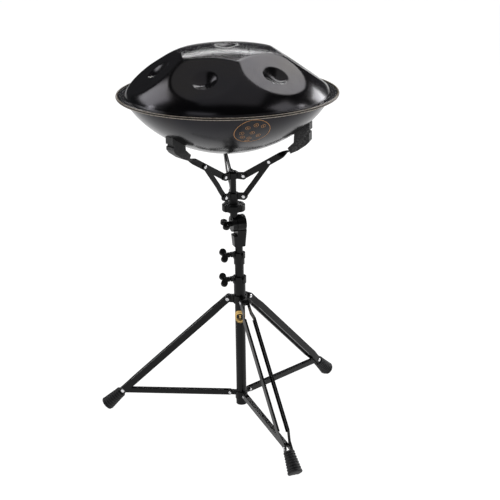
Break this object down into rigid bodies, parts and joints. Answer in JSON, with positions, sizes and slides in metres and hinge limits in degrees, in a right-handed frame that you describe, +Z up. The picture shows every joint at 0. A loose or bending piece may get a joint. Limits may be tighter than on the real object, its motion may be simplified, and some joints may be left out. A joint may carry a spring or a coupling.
{
  "type": "handpan on a folding stand",
  "caption": "Steel handpan with flattened note fields on a height-adjustable tripod stand with a tilting, folding rubber-clawed cradle.",
  "frame": {"origin": "on the floor, on the axis of the lower tube", "axes": "+Z up along the tubes, -Y toward the front of the stand, +X to the right seen from the front"},
  "size_m": [0.6055, 0.6298, 0.959],
  "materials": {
    "nitrided_steel": "satin blue-black nitrided steel with a soft sheen",
    "black_paint": "semi-gloss black powder coat",
    "black_plastic": "moulded black plastic, slight sheen",
    "zinc": "bright zinc-plated rivets",
    "claw_rubber": "soft black rubber, fine grain",
    "foot_rubber": "ribbed black rubber",
    "trim_rubber": "thin rubber edging with a polished lower lip",
    "seam_black": "structural adhesive in the flange seam",
    "copper_ink": "copper-coloured printed line",
    "gold_badge": "thin gold-coloured badge with a plain raised rim"
  },
  "bodies": {
    "base": {"lower_tube": "black_paint", "lower_collar": "black_paint", "lower_bush": "black_plastic", "leg_hub": "black_paint", "badge": "gold_badge", "end_cap": "black_plastic"},
    "lower_wing": {"lower_wing_screw": "black_plastic"},
    "brace_slider": {"brace_hub": "black_plastic"},
    "mid_mast": {"mid_tube": "black_paint", "upper_collar": "black_paint", "upper_bush": "black_plastic"},
    "upper_wing": {"upper_wing_screw": "black_plastic"},
    "inner_mast": {"inner_tube": "black_paint", "tilter_lower_half": "black_paint"},
    "tilter_wing": {"tilter_wing_screw": "black_plastic"},
    "cradle": {"tilter_upper_half": "black_paint", "cradle_post": "black_paint", "post_cap": "black_plastic", "upper_arm_hub": "black_paint", "upper_hub_rivet_right": "zinc", "upper_hub_rivet_back": "zinc", "upper_hub_rivet_left": "zinc"},
    "arm_slider": {"lower_arm_hub": "black_paint", "lower_hub_rivet_right": "zinc", "lower_hub_rivet_back": "zinc", "lower_hub_rivet_left": "zinc"},
    "wheel": {"spread_wheel": "black_plastic"},
    "pan": {"top_shell": "nitrided_steel", "bottom_shell": "nitrided_steel", "seam_adhesive": "seam_black", "rim_trim": "trim_rubber", "note_map_print": "copper_ink"},
    "leg_left": {"leg_strip_left_a": "black_paint", "leg_strip_left_b": "black_paint", "foot_left": "foot_rubber", "foot_rivet_left": "zinc"},
    "brace_left": {"brace_left": "black_paint"},
    "leg_front": {"leg_strip_front_a": "black_paint", "leg_strip_front_b": "black_paint", "foot_front": "foot_rubber", "foot_rivet_front": "zinc"},
    "brace_front": {"brace_front": "black_paint"},
    "leg_right": {"leg_strip_right_a": "black_paint", "leg_strip_right_b": "black_paint", "foot_right": "foot_rubber", "foot_rivet_right": "zinc"},
    "brace_right": {"brace_right": "black_paint"},
    "arm_right": {"arm_right": "black_paint", "claw_right": "claw_rubber", "arm_rivet_right": "zinc"},
    "strut_right": {"strut_right": "black_paint"},
    "arm_back": {"arm_back": "black_paint", "claw_back": "claw_rubber", "arm_rivet_back": "zinc"},
    "strut_back": {"strut_back": "black_paint"},
    "arm_left": {"arm_left": "black_paint", "claw_left": "claw_rubber", "arm_rivet_left": "zinc"},
    "strut_left": {"strut_left": "black_paint"}
  },
  "joints": [
    {"name": "leg_fold_left", "type": "hinge", "parent": "base", "child": "leg_left", "pos_m": [-0.02954, 0.00521, 0.322], "axis": [-0.1736, -0.9848, 0], "range_deg": [0, 12]},
    {"name": "leg_fold_front", "type": "hinge", "parent": "base", "child": "leg_front", "pos_m": [0.01085, -0.02797, 0.322], "axis": [0.9323, 0.3616, 0], "range_deg": [0, 12]},
    {"name": "leg_fold_right", "type": "hinge", "parent": "base", "child": "leg_right", "pos_m": [0.01928, 0.02298, 0.322], "axis": [-0.766, 0.6428, 0], "range_deg": [0, 12]},
    {"name": "brace_hub_slide", "type": "slide", "parent": "base", "child": "brace_slider", "axis": [0, 0, 1], "range_m": [0, 0.1114]},
    {"name": "brace_swing_left", "type": "hinge", "parent": "brace_slider", "child": "brace_left", "pos_m": [-0.02856, 0.00504, 0.066], "axis": [-0.1736, -0.9848, 0], "range_deg": [0, 36.19]},
    {"name": "brace_swing_front", "type": "hinge", "parent": "brace_slider", "child": "brace_front", "pos_m": [0.01049, -0.02704, 0.066], "axis": [0.9323, 0.3616, 0], "range_deg": [0, 36.19]},
    {"name": "brace_swing_right", "type": "hinge", "parent": "brace_slider", "child": "brace_right", "pos_m": [0.01864, 0.02221, 0.066], "axis": [-0.766, 0.6428, 0], "range_deg": [0, 36.19]},
    {"name": "lower_wing_turn", "type": "hinge", "parent": "base", "child": "lower_wing", "pos_m": [-0.01879, -0.00684, 0.377], "axis": [-0.9397, -0.342, 0], "range_deg": [0, 360]},
    {"name": "mid_tube_slide", "type": "slide", "parent": "base", "child": "mid_mast", "axis": [0, 0, 1], "range_m": [-0.024, 0.2]},
    {"name": "upper_wing_turn", "type": "hinge", "parent": "mid_mast", "child": "upper_wing", "pos_m": [-0.01879, -0.00684, 0.4405], "axis": [-0.9397, -0.342, 0], "range_deg": [0, 360]},
    {"name": "inner_tube_slide", "type": "slide", "parent": "mid_mast", "child": "inner_mast", "axis": [0, 0, 1], "range_m": [-0.015, 0.18]},
    {"name": "tilter_wing_turn", "type": "hinge", "parent": "inner_mast", "child": "tilter_wing", "pos_m": [-0.02819, -0.01026, 0.52], "axis": [-0.9397, -0.342, 0], "range_deg": [0, 360]},
    {"name": "cradle_tilt", "type": "hinge", "parent": "inner_mast", "child": "cradle", "pos_m": [0, 0, 0.52], "axis": [-0.9397, -0.342, 0], "range_deg": [-40, 40]},
    {"name": "pan_lift", "type": "slide", "parent": "cradle", "child": "pan", "axis": [0, 0, 1], "range_m": [0, 0.2]},
    {"name": "arm_fold_right", "type": "hinge", "parent": "cradle", "child": "arm_right", "pos_m": [0.01454, -0.012, 0.643], "axis": [-0.2924, -0.9563, 0], "range_deg": [0, 24]},
    {"name": "arm_fold_back", "type": "hinge", "parent": "cradle", "child": "arm_back", "pos_m": [-0.01735, 0.0222, 0.643], "axis": [0.9744, 0.225, 0], "range_deg": [0, 24]},
    {"name": "arm_fold_left", "type": "hinge", "parent": "cradle", "child": "arm_left", "pos_m": [-0.03102, -0.02252, 0.643], "axis": [-0.682, 0.7314, 0], "range_deg": [0, 24]},
    {"name": "arm_hub_slide", "type": "slide", "parent": "cradle", "child": "arm_slider", "axis": [0, 0, 1], "range_m": [0, 0.0108]},
    {"name": "strut_swing_right", "type": "hinge", "parent": "arm_slider", "child": "strut_right", "pos_m": [0.01454, -0.012, 0.5915], "axis": [-0.2924, -0.9563, 0], "range_deg": [0, 12.68]},
    {"name": "strut_swing_back", "type": "hinge", "parent": "arm_slider", "child": "strut_back", "pos_m": [-0.01735, 0.0222, 0.5915], "axis": [0.9744, 0.225, 0], "range_deg": [0, 12.68]},
    {"name": "strut_swing_left", "type": "hinge", "parent": "arm_slider", "child": "strut_left", "pos_m": [-0.03102, -0.02252, 0.5915], "axis": [-0.682, 0.7314, 0], "range_deg": [0, 12.68]},
    {"name": "spread_wheel_turn", "type": "hinge", "parent": "arm_slider", "child": "wheel", "pos_m": [-0.01128, -0.0041, 0.56], "axis": [0, 0, 1], "range_deg": [0, 1295.5]}
  ],
  "couplings": [
    {"joint": "leg_fold_front", "follows": "leg_fold_left", "ratio": 1},
    {"joint": "leg_fold_right", "follows": "leg_fold_left", "ratio": 1},
    {"joint": "brace_hub_slide", "follows": "leg_fold_left", "m_per_rad": 0.5319},
    {"joint": "brace_swing_left", "follows": "leg_fold_left", "ratio": 3.0154},
    {"joint": "brace_swing_front", "follows": "leg_fold_left", "ratio": 3.0154},
    {"joint": "brace_swing_right", "follows": "leg_fold_left", "ratio": 3.0154},
    {"joint": "arm_fold_right", "follows": "pan_lift", "rad_per_m": 2.0944},
    {"joint": "arm_fold_back", "follows": "pan_lift", "rad_per_m": 2.0944},
    {"joint": "arm_fold_left", "follows": "pan_lift", "rad_per_m": 2.0944},
    {"joint": "arm_hub_slide", "follows": "pan_lift", "ratio": 0.054},
    {"joint": "strut_swing_right", "follows": "pan_lift", "rad_per_m": 1.1066},
    {"joint": "strut_swing_back", "follows": "pan_lift", "rad_per_m": 1.1066},
    {"joint": "strut_swing_left", "follows": "pan_lift", "rad_per_m": 1.1066},
    {"joint": "spread_wheel_turn", "follows": "pan_lift", "rad_per_m": 113.06}
  ]
}
